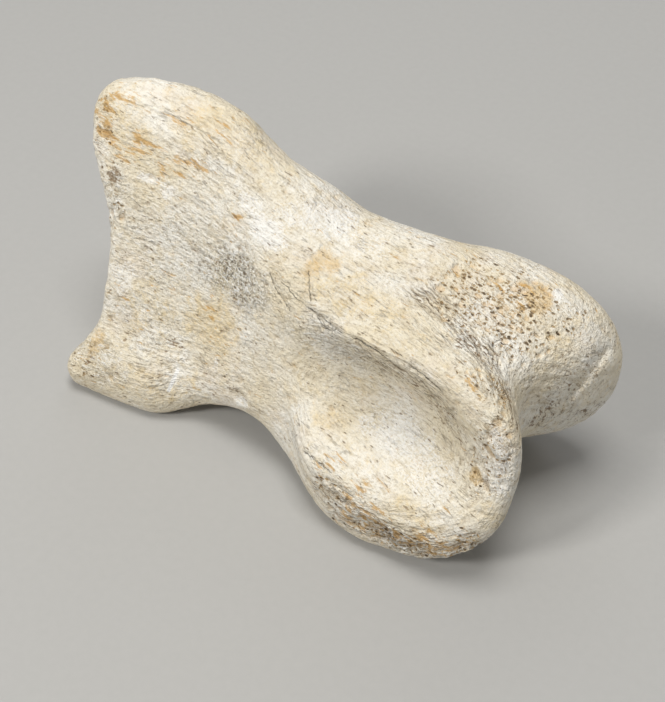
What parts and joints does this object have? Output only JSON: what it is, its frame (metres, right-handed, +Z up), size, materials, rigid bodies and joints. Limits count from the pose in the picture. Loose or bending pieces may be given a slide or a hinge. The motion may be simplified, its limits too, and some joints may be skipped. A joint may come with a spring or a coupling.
{
  "type": "fossil dinosaur hand bone",
  "caption": "Fossil finger bone of a meat-eating dinosaur: a tall hollow joint face, a pinched shaft and a grooved pulley with a wide ligament pit.",
  "frame": {"origin": "centre of the bone's outline seen from above, on the surface it rests on", "axes": "+X along the bone from the hollow joint face towards the two knuckles, +Y across it away from the side with the wide pit that the picture shows, +Z up as the bone rests on its underside"},
  "size_m": [0.1058, 0.05, 0.0588],
  "materials": {
    "fossil_bone": null
  },
  "bodies": {
    "root": {"phalanx": "fossil_bone"}
  },
  "joints": []
}
